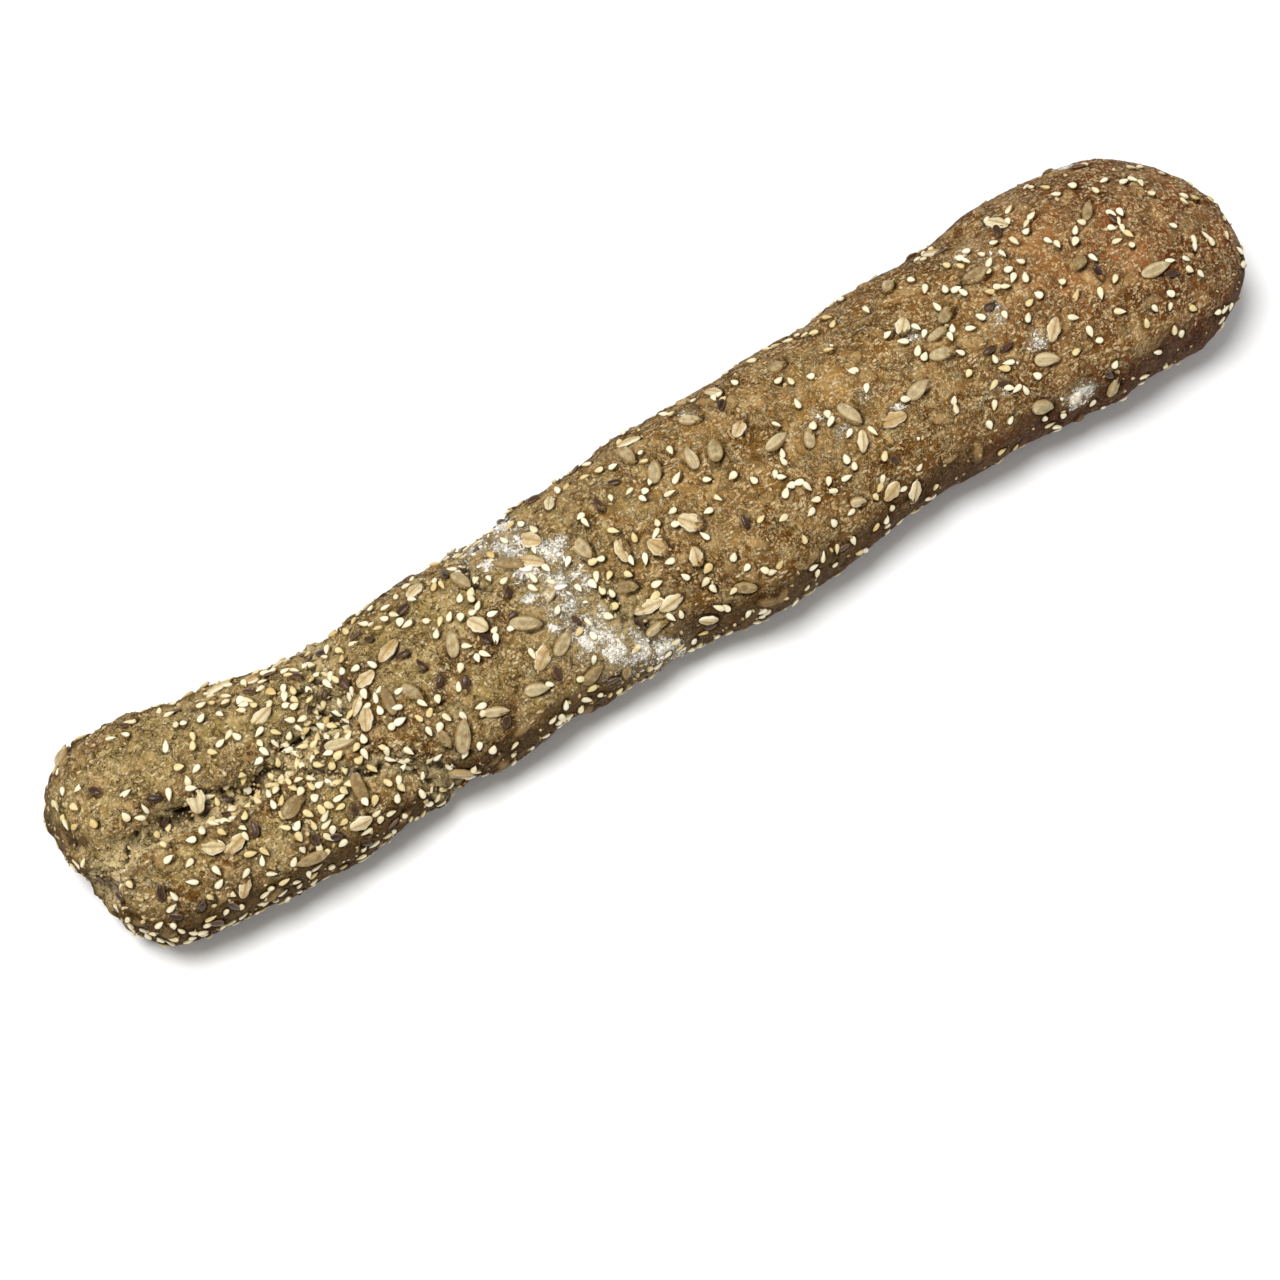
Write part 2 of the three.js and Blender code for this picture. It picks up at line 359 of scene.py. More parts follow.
def crust_material(colours):
    """Wholegrain bread crust: dough dried and browned in the oven. It gives mottled brown with fine
    pale and dark specks of bran, a dull surface with a faint sheen on the brownest parts, greyer
    open crumb where it is torn, and flour lying in patches. Light and shade are painted in too:
    painted shade on the low sides and flanks, in cracks, pores, wrinkle folds and the gaps round
    seeds, and painted highlights on wrinkle crests and on the round end's crown."""
    material, tree = new_material("wholegrain_crust")
    pattern = crust_patterns(tree, add(tree, "ShaderNodeTexCoord", output="Object"))
    baked, torn, floured, deep, low, lifted, olive, ruddy, rough = (
        add(tree, "ShaderNodeAttribute", {"attribute_name": mark}, output="Fac") for mark in
        ("baked", "torn", "floured", "deep", "low", "lifted", "olive", "ruddy", "rough"))

    # Tan that turns olive towards the blunt end and red brown towards the round one, and is
    # browner over 20 to 30 mm, as the heat browned it. The browning also carries painted shade on
    # the low side and the flanks, and a painted highlight on the round end's crown.
    tan = paint(tree, list(colours.crust_tan), (list(colours.crust_olive), olive),
                (list(colours.crust_red), ruddy))
    brown = paint(tree, list(colours.crust_brown), ("#70411d", ruddy))
    browned = level(tree, (baked,), (pattern["browning"], 0.6), between=(0.28, 1.06))

    fold = level(tree, (pattern["folds"], pattern["folded"]))
    crest = level(tree, (pattern["crests"], pattern["crested"]))
    starch = level(tree, (pattern["starch along"], pattern["starchy along"]),
                   (pattern["starch across"], pattern["starchy across"]))
    shaded = level(tree, (low,), (pattern["shading"], 0.7), between=(0.35, 1.15))
    colour = paint(
        tree, tan, (brown, browned),
        # Paler islands 10 to 15 mm wide, where the skin rose first and dried.
        ("#c8a068", pattern["islands"], 0.42),
        # Mottling of 3 to 5 mm from the uneven skin, stronger where the dough is rough.
        ("#dcc187", pattern["light"], rough),
        ("#432607", pattern["dark"], rough),
        # Dried wrinkles: painted shade in their folds and a painted highlight on their crests.
        ("#3a2209", fold, level(tree, (0.2,), (rough, 0.5))),
        ("#dcc08a", crest, 0.6),
        # Fibres of bran: dashes 0.5 to 2 mm long, drawn twice as wide as they are so that they show.
        ("#e4c795", pattern["fibres"], pattern["fibre lengths"], pattern["fibrous"], 0.85),
        # Grains of starch of 0.2 to 0.5 mm, drawn 0.5 to 0.9 mm across and up to 1.5 mm long.
        ("#efd9ac", starch, level(tree, (0.62,), (rough, 0.35))),
        # Scorched specks about 1 mm across, where the dough is roughest.
        ("#291403", pattern["soot"], rough, rough),
        # Painted shade: the low sides, which face down away from the lamps, are darkened to deep
        # brown, and thin skin over a seed is paler.
        (paint(tree, "#493013", ("#46230f", ruddy)), shaded, 0.82),
        ("#cfac74", lifted, 0.45),
    )
    # The crust as a whole is a little richer and darker than its layers come to.
    colour = add(tree, "ShaderNodeHueSaturation", {}, {
        "Saturation": 1.02, "Value": 0.97, "Color": colour})

    # Flour caught on the skin: a thin veil, and white where it lies thick, broken up at 1 to 6 mm.
    veil = level(tree, (floured,), (pattern["veil"], 0.8), between=(0.5, 1.2))
    flour = level(tree, (floured, 0.55), (pattern["coarse dust"], 0.6), (pattern["fine dust"], 1.3),
                  between=(1.22, 1.28))
    opened = level(tree, (torn,), (pattern["tearing"], 0.5), between=(0.45, 0.95))
    colour = paint(
        tree, colour,
        # Open crumb where the crust tore: greyer and paler, dark in its pores.
        (paint(tree, "#5e451b", ("#e8d29c", pattern["crumb"])), opened, 0.85),
        # Painted shade: deep in a crack, in pores and pits, and in the gap and ring round a seed,
        # where the skin is hardly lit, it is painted nearly black.
        ("#241303", deep, 0.92),
        ("#cbb688", veil, 0.5),
        ("#fff7e6", flour),
    )

    grain = level(tree, (pattern["fine grain"], 0.6), (pattern["coarse grain"],))
    height = level(tree, (grain, level(tree, (0.4,), (rough, 0.65))), (starch, 0.25), (flour, 0.3),
                   (crest, 0.5), (fold, -0.5))
    bump = add(tree, "ShaderNodeBump", {}, {
        "Strength": 1.0, "Distance": 1.3 * MM, "Height": height})
    roughness = level(tree, (0.55,), (pattern["dullness"], 0.18), (torn, 0.12), (flour, 0.15))
    cover(tree, {"Base Color": colour, "Roughness": roughness, "IOR": 1.45,
                 "Specular IOR Level": 0.07, "Normal": bump})
    return material


def seed_material(name, pale, deep, rim, grain, roughness, lines=0.0, groove=0.0, shine=0.3):
    """The dry skin of a seed: its tone runs from pale to deep seed by seed, with the deep tone at
    its pointed tip, the rim colour round its edge, a fine grain of the given size, lines along it
    and a groove down its middle."""
    material, tree = new_material(name)
    where = add(tree, "ShaderNodeTexCoord", output="Object")
    tone, tip, edge, dusted = (
        add(tree, "ShaderNodeAttribute", {"attribute_name": mark}, output="Fac")
        for mark in ("tone", "tip", "edge", "dusted"))
    # The skin's own grain, and the specks of 0.3 to 1.3 mm that break up the flour on it.
    cloud, speckle = (
        add(tree, "ShaderNodeTexNoise", {}, {
            "Vector": where, "Scale": per(size), "Detail": detail, "Roughness": fine})
        for size, detail, fine in ((grain, 3.0, 0.6), (1.3, 4.0, 0.75)))
    ripple = add(tree, "ShaderNodeMath", {"operation": "SINE"}, {
        0: level(tree, (edge, 17.0), (cloud,))})
    flour = level(tree, (dusted, 0.65), (speckle,))
    dark = [0.45 * c for c in linear(deep)[:3]] + [1.0]
    layers = [(deep, level(tree, (tone,), (cloud, 2.2), (-1.1,)))]
    for over, mask, low, high, most in (
        (dark, ripple, -0.2, 0.9, lines),
        (deep, tip, 0.72, 1.0, 0.6),
        # The rim colour along the outline is painted shade for sesame and kernels and a painted highlight
        # for linseed.
        (rim, edge, 0.45, 0.9, 0.85),
        (dark, edge, 0.07, 0.0, groove),
        ("#fff7e6", flour, 0.88, 1.08, 0.85),
    ):
        if most > 0:
            layers.append((over, level(tree, (mask,), between=(low, high)), most))
    bump = add(tree, "ShaderNodeBump", {}, {
        "Strength": 0.6, "Distance": 0.4 * MM, "Height": cloud})
    cover(tree, {"Base Color": paint(tree, pale, *layers), "Roughness": roughness, "IOR": 1.47,
                 "Specular IOR Level": shine, "Normal": bump})
    return material


def make_mesh(name, places, triangles, uv, marks):
    """A smooth mesh of triangles with the bake's map and one number per vertex for each mark."""
    mesh = bpy.data.meshes.new(name)
    mesh.vertices.add(len(places))
    mesh.vertices.foreach_set("co", places.astype(np.float32).ravel())
    mesh.loops.add(triangles.size)
    mesh.loops.foreach_set("vertex_index", triangles.astype(np.int32).ravel())
    mesh.polygons.add(len(triangles))
    mesh.polygons.foreach_set("loop_start", np.arange(0, triangles.size, 3, dtype=np.int32))
    mesh.update(calc_edges=True)
    finish_mesh(mesh, uv, marks)
    return mesh


def finish_mesh(mesh, uv, marks):
    """Gives a mesh its map, its marks and smooth shading."""
    layer = mesh.uv_layers.new(name="OFBake")
    layer.uv.foreach_set("vector", uv.astype(np.float32).ravel())
    for mark, values in marks.items():
        layer = mesh.attributes.new(mark, "FLOAT", "POINT")
        layer.data.foreach_set("value", values.astype(np.float32))
    mesh.shade_smooth()


def new_piece(name, mesh, material):
    """Puts a finished mesh into the scene as a piece that rides on the loaf's body."""
    piece = bpy.data.objects.new(name, mesh)
    bpy.context.scene.collection.objects.link(piece)
    mesh.materials.append(material)
    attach(piece, "root")
    return piece


def fine_skin(spacing):
    """The CAD solid's skin as an even net of small squares with its facets smoothed away."""
    net = bpy.data.objects.new("net", LOAF.data.copy())
    bpy.context.scene.collection.objects.link(net)
    for kind, settings in (
        ("WELD", {"merge_threshold": 0.001 * MM}),
        ("SUBSURF", {"levels": 1}),
        ("REMESH", {"mode": "VOXEL", "voxel_size": spacing}),
        ("SMOOTH", {"iterations": 14}),
    ):
        modifier = net.modifiers.new(kind.lower(), kind)
        for name, value in settings.items():
            setattr(modifier, name, value)
    evaluated = net.evaluated_get(bpy.context.evaluated_depsgraph_get())
    mesh = bpy.data.meshes.new_from_object(evaluated)
    mesh.name = "crust"
    mesh.materials.clear()
    bpy.data.objects.remove(net)
    return mesh


def covered_seeds(places, normals, count):
    """How far seeds under the skin push it up, most on the seedier half, with marks for the thin
    skin over them and for a ring of painted shade round each."""
    rng = np.random.default_rng(31)
    height, lifted, shade_ring = np.zeros((3, len(places)))
    seedy = np.clip(1.1 - places[:, 0] / (260 * MM), 0.35, 1.6) * (normals[:, 2] > -0.3)
    picks = rng.choice(len(places), count, replace=False, p=seedy / seedy.sum())
    for pick in picks:
        near = np.flatnonzero(abs(places[:, 0] - places[pick, 0]) < 6 * MM)
        up = normals[pick]
        way = np.cross(up, rng.normal(size=3))
        way /= np.linalg.norm(way)
        gap = places[near] - places[pick]
        length = rng.uniform(3.4, 4.8) * MM
        width = length * rng.uniform(0.42, 0.6)
        share = 1 - (gap @ way / length) ** 2 - (gap @ np.cross(up, way) / width) ** 2
        share -= (gap @ up / (3 * MM)) ** 2
        bump = np.sqrt(np.clip(share, 0, 1)) * rng.uniform(0.5, 1.2) * MM
        height[near] = np.maximum(height[near], bump)
        lifted[near] = np.maximum(lifted[near], ease(0.1, 0.9, share))
        shade_ring[near] = np.maximum(shade_ring[near], 0.55 * bell(share + 0.1, 0.16))
    return height, lifted, shade_ring * (1 - lifted)


def dough_relief(places, ragged):
    """The dough's own unevenness in millimetres, rougher towards the blunt end."""
    height = 0.5 * noise(places, 15 * MM, 11) + (0.2 + 0.25 * ragged) * noise(places, 7 * MM, 12)
    height += (0.13 + 0.14 * ragged) * noise(places, 2.9 * MM, 13)
    height += (0.09 + 0.07 * ragged) * noise(places, 1.5 * MM, 14)
    # Small blisters where gas lifted the skin.
    far, own = pebbles(places, 9 * MM, 15)
    size = 0.12 + 0.2 * own
    return height + 0.45 * (own > 0.45) * np.sqrt(np.clip(1 - (far / size) ** 2, 0, 1))


def cut_cracks(places, shaken, tree, height, torn, deep):
    """Cuts the cracks into the height, and adds them to the mark of what is torn and to the deep
    mark, which paints shade down in them.
    """
    uneven, broken = noise(places, 4 * MM, 20), noise(places, 3 * MM, 25)
    for route, width, depth in CRACKS:
        gap = distance_to(shaken, line_on(tree, route)) / MM
        cut = bell(gap, width)
        height -= CRACK_DEPTH * depth * cut * (0.8 + 0.5 * uneven)
        # Painted shade down in the crack.
        np.maximum(deep, ease(0.3, 1.0, cut * (1 + 0.5 * broken)), out=deep)
        np.maximum(torn, 0.7 * bell(gap, width * 1.7), out=torn)


def flour_marks(shaken, tree):
    """How thick the flour lies: thin over the whole band, and thicker in the dabs."""
    floured = 0.5 * bell(distance_to(shaken, line_on(tree, FLOUR_BAND)) / MM, 11.5)
    for along, around, radius, thick in FLOUR_DABS:
        middle, _ = SECTIONS.place(tree, along, around)
        gap = np.linalg.norm(shaken - middle, axis=1) / MM
        floured = np.maximum(floured, thick * bell(gap, radius))
    return floured


def browning(places, normals, tree, height, torn, floured, low):
    """How brown each place is: browned by the oven, least in hollows, in the tear and under flour,
    with painted shade on the low side and the flanks and a painted highlight on the round end's crown.
    """
    x = places[:, 0]
    # The share of low is painted shade on the side that faces down.
    baked = 0.25 + 0.45 * noise(places, 40 * MM, 23) + 0.35 * noise(places, 14 * MM, 29) + 0.3 * low
    baked += 0.35 * ease(90 * MM, 190 * MM, x) - 0.15 * torn - 0.2 * floured
    baked += 0.5 * np.clip(height, -0.6, 0.6)
    # Painted shade: the flanks are darker than the top, most towards the round end.
    flank = ease(0.25, 0.75, abs(normals[:, 1]))
    baked += flank * (0.15 + 0.6 * ease(-30 * MM, 40 * MM, x))
    # Painted highlight: the crown of the round end is paler.
    crown, _ = SECTIONS.place(tree, *CROWN_HIGHLIGHT)
    return baked - 0.6 * bell(np.linalg.norm(places - crown, axis=1), 21 * MM)


def crust_relief(places, normals, bump):
    """How far each place of the skin stands out, how far it leans over sideways, and the marks that
    its colours follow."""
    tree = BVHTree.FromObject(LOAF, bpy.context.evaluated_depsgraph_get())
    x = places[:, 0]
    ragged = ease(70 * MM, -30 * MM, x)
    wander = np.stack([noise(places, 5 * MM, k) for k in (1, 2, 3)], axis=1)
    shaken = places + wander * 1.6 * MM
    tear, seam, neck = (distance_to(shaken, line_on(tree, route)) / MM
                        for route in (TEAR, FRONT_SEAM, NECK_SEAM))
    torn = np.exp(-(tear / 6.2) ** 4)
    torn = np.maximum(torn, 0.75 * bell(seam, 3.2))
    torn = np.maximum(torn, 0.8 * bell(neck, 4.5))

    height = dough_relief(places, ragged)
    # The torn strip: a rough floor full of pores between raised lips.
    lips = bell(tear - 7.2, 1.8) * np.clip(0.7 + 0.8 * noise(places, 7 * MM, 16), 0, 2)
    height += 1.7 * lips - 2.6 * bell(tear, 5.0)
    # The blunt end is drawn in where the tear runs over it.
    height -= 2.8 * bell(distance_to(places, line_on(tree, TEAR[:3])), 7 * MM)
    # The tear's back lip leans out over it.
    behind = ease(0, 6, np.interp(x / MM, *zip(*TEAR)) - SECTIONS.angle(places))
    over = behind * bell(tear - 5.2, 2.2) * np.clip(0.7 + noise(places, 9 * MM, 30), 0, 1.6)
    lean = np.cross((1, 0, 0), normals) * (2.6 * MM * bump * over)[:, None]
    far, own = pebbles(shaken, 3.1 * MM, 17)
    pores = bell(far, 0.4)
    height -= torn * (1.0 + 1.6 * own) * pores
    height += torn * (1.3 * noise(places, 3.4 * MM, 18) + 0.8 * noise(places, 1.7 * MM, 19))
    # Painted shade in the larger pores of the torn strip.
    deep = 0.6 * torn * (own > 0.55) * pores
    cut_cracks(places, shaken, tree, height, torn, deep)
    # Pits where bubbles burst or a seed fell out.
    far, own = pebbles(places, 7 * MM, 21)
    pits = (own < 0.12 + 0.3 * ragged) * bell(far, 0.15)
    height -= (0.5 + 1.3 * ragged) * pits
    # Painted shade in the pits on the rough half.
    deep = np.maximum(deep, 0.9 * pits * ragged * ease(-0.1, 0.3, noise(places, 22 * MM, 32)))
    # Wrinkles where the skin dried: short sharp crests.
    crest = (1 - abs(noise(shaken, 4.2 * MM, 26))) ** 6 * ease(0, 0.4, noise(places, 12 * MM, 27))
    height += (0.25 + 0.3 * ragged) * crest
    floured = flour_marks(shaken, tree)
    height += floured * 0.2 * noise(places, 1.4 * MM, 22)

    # How far each place faces down: it sets the painted shade of the low side.
    low = ease(0.78, 0.14, normals[:, 2])
    patchy = x / MM + 25 * noise(places, 40 * MM, 28)
    return height * MM * bump, lean, {
        "torn": torn, "floured": floured, "deep": deep, "low": low,
        "baked": browning(places, normals, tree, height, torn, floured, low),
        # Part of the painted shade: the low side is also made redder.
        "olive": ease(30, -70, patchy), "ruddy": ease(60, 185, patchy + 50 * low),
        "rough": 0.24 + 0.26 * ease(150, 60, patchy) + 0.4 * ease(30, -70, patchy)}


def skin_map(mesh, places):
    """The bake's map: the skin unrolled along its underside, in two strips one above the other."""
    angle = SECTIONS.angle(places)
    half, side, level, _ = SECTIONS.at(np.clip(places[:, 0], *BODY))
    reach = np.hypot(places[:, 1] - side, places[:, 2] - level)
    past = np.sign(places[:, 0]) * np.clip(half - reach, 0, None)
    past *= ease(BODY[0] + 10 * MM, BODY[0], places[:, 0]) + ease(BODY[1] - 10 * MM, BODY[1], places[:, 0])
    along = places[:, 0] + past
    corner = numbers(mesh.loops, "vertex_index").astype(int)
    total = numbers(mesh.polygons, "loop_total").astype(int)
    face = np.repeat(np.arange(len(total)), total)
    turned = ((angle + 90) % 360 / 360)[corner]
    first = turned[np.cumsum(total) - total][face]
    turned = turned - np.round(turned - first)
    middle = np.bincount(face, along[corner]) / total
    right = (middle > 0)[face]
    share = np.abs(along[corner]) / (abs(along).max() * 1.02)
    return np.stack([0.01 + 0.97 * np.clip(share, 0, 1), 0.01 + (turned + 0.02) * 0.46 + 0.5 * right],
                    axis=1)


def baked_crust():
    """The crust, once it has been baked."""
    crust = bpy.data.objects.get("crust")
    if crust is None:
        raise RuntimeError("bake the crust before anything is done on it")
    return crust


class Bed:
    """The baked crust as a bed for seeds: its small faces with their places, areas, lie and marks."""

    def __init__(self):
        crust = baked_crust()
        mesh = crust.data
        self.places = numbers(mesh.polygons, "center", 3)
        self.area = numbers(mesh.polygons, "area")
        first = numbers(mesh.polygons, "loop_start").astype(int)
        vertex = numbers(mesh.loops, "vertex_index").astype(int)[first]
        self.lie = numbers(mesh.attributes["lie"].data, "vector", 3)[vertex]
        for mark in ("torn", "floured", "deep"):
            setattr(self, mark, numbers(mesh.attributes[mark].data, "value")[vertex])
        self.x = self.places[:, 0] / MM
        self.angle = SECTIONS.angle(self.places)
        # Seeds lie on what could be seen of the dough when it was rolled in them, not underneath.
        self.open = ease(-0.75, -0.35, self.lie[:, 2]) * ease(0.5 * MM, 3 * MM, self.places[:, 2])
        # The large ones keep off the low sides and, at the back, off the smooth first lobe.
        self.upper = ease(0.0, 0.3, self.lie[:, 2] - 0.35 * (self.lie[:, 1] > 0))
        self.upper *= 1 - 0.9 * self.patch(-172, 55, 26, 22)
        self.tree = BVHTree.FromObject(crust, bpy.context.evaluated_depsgraph_get())

    def nearest(self, place):
        """The face nearest to a place."""
        return np.argmin(((self.places - place) ** 2).sum(axis=1))

    def patch(self, along, around, length, width):
        """A soft oval patch: 1 in its middle and falling off over length and width, in mm."""
        turn = (self.angle - around + 180) % 360 - 180
        return np.exp(-((self.x - along) / length) ** 2 - (turn * DEGREE / width) ** 2)

    def pick(self, density, gap, rng, room=0.0, own=0.0):
        """Faces for seeds, by how many lie on each square centimetre, no two nearer than gap and
        none on a taken place or within room of it. Each takes its own room from later seeds."""
        weight = self.area * self.open * density * 1e4
        count = int(weight.sum())
        chosen = rng.choice(len(weight), count * 4, replace=False, p=weight / weight.sum())
        tree = KDTree(len(chosen))
        for i, face in enumerate(chosen):
            tree.insert(self.places[face], i)
        tree.balance()
        free = np.ones(len(chosen), bool)
        for place, reach in TAKEN:
            for _, i, _ in tree.find_range(place, reach + room):
                free[i] = False
        picked = []
        for i, face in enumerate(chosen):
            if free[i] and len(picked) < count:
                picked.append(face)
                for _, j, _ in tree.find_range(self.places[face], gap):
                    free[j] = False
        if own > 0:
            TAKEN.extend((self.places[face], own) for face in picked)
        return np.array(picked)


AWAY_FROM_KEY = np.array((0.45, -0.89, 0))  # the way away from the key lamp, towards the front: the gap round each seed is wider, deeper and darker there, as painted shade
TAKEN = []  # places of large seeds already laid, and how much room each needs
PRESSED = []  # every seed laid: its place, normal, way, half its length and half its width


def oval_shape(size, rings, sides, blunt, sharp, flat, surface=None):
    """A closed seed body along X: blunt at its start, sharp at its end, as vertices, triangles, a
    map for each corner and marks. `surface` may push its top and bottom about."""
    length, width, thick = size
    along = (1 - np.cos(np.pi * np.arange(1, rings + 1) / (rings + 1))) / 2
    outline = along ** blunt * (1 - along) ** sharp
    peak = blunt / (blunt + sharp)
    outline /= peak ** blunt * (1 - peak) ** sharp
    turn = 2 * np.pi * np.arange(sides) / sides
    c, s = (np.sign(wave) * abs(wave) ** flat for wave in (np.cos(turn), np.sin(turn)))
    body = np.empty((rings, sides, 3))
    body[:, :, 0] = ((along - 0.5) * length)[:, None]
    body[:, :, 1] = width / 2 * outline[:, None] * c
    body[:, :, 2] = thick / 2 * outline[:, None] ** 0.8 * s
    places = np.concatenate([[[-length / 2, 0, 0]], body.reshape(-1, 3), [[length / 2, 0, 0]]])
    if surface is not None:
        places = surface(places, length, width, thick)
    # Each corner is a ring and a side. Ring -1 is the blunt tip and the ring past the last the sharp.
    corners = []
    for k in range(sides):
        corners.append(((-1, k + 0.5), (0, k + 1), (0, k)))
        corners.append(((rings, k + 0.5), (rings - 1, k), (rings - 1, k + 1)))
        for r in range(rings - 1):
            corners.append(((r, k), (r, k + 1), (r + 1, k + 1)))
            corners.append(((r, k), (r + 1, k + 1), (r + 1, k)))
    ring, side = np.moveaxis(np.array(corners), 2, 0)
    vertex = 1 + ring * sides + side % sides
    faces = np.where(ring < 0, 0, np.where(ring == rings, 1 + rings * sides, vertex)).astype(int)
    uv = np.stack([(ring + 1) / (rings + 1), side / sides], axis=2)
    tip = np.concatenate([[0], np.repeat(along, sides), [1]])
    edge = np.concatenate([[1], np.tile(abs(np.cos(turn)) ** 2, rings), [1]])
    return places, faces, uv, tip, edge


def seed_shapes(size, rings, sides, blunt, flat, kinds, surface=None):
    """The shapes of one kind of seed: each a scale of its size and how sharp its tip is."""
    return [oval_shape(size * np.array(scale), rings, sides, blunt, sharp, flat, surface)
            for scale, sharp in kinds]


def lay_seeds(bed, name, shapes, faces, rng, sink, tilt, tone, material, spread=0.1, extra=()):
    """A piece of many seeds, on the bed's faces and on extra places given with their normal and
    way. Each takes one of the shapes, lies along its way on the skin with a little tilt, and is
    pressed in by its share of sink."""
    laid = [(bed.places[face], bed.lie[face], np.cross(bed.lie[face], rng.normal(size=3)),
             bed.floured[face]) for face in faces]
    laid += [(*place, bed.floured[bed.nearest(place[0])]) for place in extra]
    scales = rng.normal(1, spread, (len(laid), 3)).clip(1 - 2 * spread, 1 + 2 * spread)
    sinks = rng.uniform(*sink, len(laid))
    tones = rng.beta(*tone, len(laid))
    blocks, faces, maps, marks = [], [], [], []
    start, side = 0, math.ceil(math.sqrt(len(laid)))
    for i, (middle, up, way, dusted) in enumerate(laid):
        places, triangles, uv, tip, edge = shapes[i % len(shapes)]
        up = up + np.cross(up, rng.normal(size=3)) * tilt
        up /= np.linalg.norm(up)
        across = np.cross(up, way)
        across /= np.linalg.norm(across)
        basis = np.stack([np.cross(across, up), across, up])
        lift = (0.5 - sinks[i]) * np.ptp(places[:, 2]) * scales[i][2]
        moved = (places * scales[i]) @ basis + middle + up * lift
        PRESSED.append((middle, up, basis[0], *(np.ptp(places[:, :2], axis=0) / 2 * scales[i][:2])))
        moved[:, 2] = np.maximum(moved[:, 2], FLOOR_GAP)
        blocks.append(moved)
        faces.append(triangles + start)
        maps.append((uv * 0.94 + 0.03 + np.array([i % side, i // side])) / side)
        own = np.ones(len(places))
        marks.append(np.stack([tones[i] * own, dusted * own, tip, edge]))
        start += len(places)
    marks = dict(zip(("tone", "dusted", "tip", "edge"), np.concatenate(marks, axis=1)))
    mesh = make_mesh(name, *map(np.concatenate, (blocks, faces, maps)), marks)
    new_piece(name, mesh, material)


def by_hand(bed, places):
    """Places given one by one, as a point on the crust, its normal and the way the seed points."""
    found = []
    for along, around, heading in places:
        middle, _ = SECTIONS.place(bed.tree, along, around)
        lie = bed.lie[bed.nearest(middle)]
        back = np.cross(lie, (1, 0, 0))
        back /= np.linalg.norm(back)
        ahead = np.cross(back, lie)
        turn = math.radians(heading)
        found.append((middle, lie, ahead * math.cos(turn) + back * math.sin(turn)))
    return found


class BaguetteDough(bpy.types.PropertyGroup):
    """Sizes of the crust."""

    spacing: bpy.props.FloatProperty(
        name="Net spacing", description="Side of the crust's small faces",
        default=0.62 * MM, min=0.4 * MM, max=3 * MM, precision=5, unit="LENGTH")
    bump: bpy.props.FloatProperty(
        name="Relief", description="Strength of the crust's unevenness, cracks and blisters",
        default=1.0, min=0, max=2, subtype="FACTOR")
    covered: bpy.props.IntProperty(
        name="Covered seeds", description="Seeds that lie under the skin and push it up",
        default=170, min=0, max=400)


def amount(name):
    """A share of the usual number of seeds of a kind."""
    return bpy.props.FloatProperty(
        name=name, description=f"{name}, as a share of the usual number",
        default=1.0, min=0.05, max=3, subtype="FACTOR")


def length(name, millimetres):
    """The length of a kind of seed."""
    return bpy.props.FloatProperty(
        name=name, description=f"{name} from tip to tip",
        default=millimetres * MM, min=MM, precision=5, unit="LENGTH")


class BaguetteTopping(bpy.types.PropertyGroup):
    """Numbers and sizes of the seeds."""

    sesame: amount("Sesame")
    sesame_length: length("Sesame seed", 3.4)
    kernels: amount("Sunflower kernels")
    kernel_length: length("Sunflower kernel", 8.6)
    linseed: amount("Linseeds")
    linseed_length: length("Linseed", 4.6)
    flakes: amount("Grain flakes")
    flake_length: length("Grain flake", 7.6)
    crumbs: amount("Crumbs and flour grains")


def colour(name, where, code):
    """One of the crust's main colours."""
    return bpy.props.FloatVectorProperty(
        name=name, description=f"The crust {where}", size=4, default=linear(code), min=0, max=1,
        subtype="COLOR")


class BaguetteColours(bpy.types.PropertyGroup):
    """The crust's main colours."""

    crust_tan: colour("Tan crust", "where it is least baked", "#9f7841")
    crust_olive: colour("Olive crust", "towards the blunt end", "#ac9258")
    crust_red: colour("Red-brown crust", "towards the round end", "#9b6139")
    crust_brown: colour("Brown crust", "where it is most baked", "#785121")


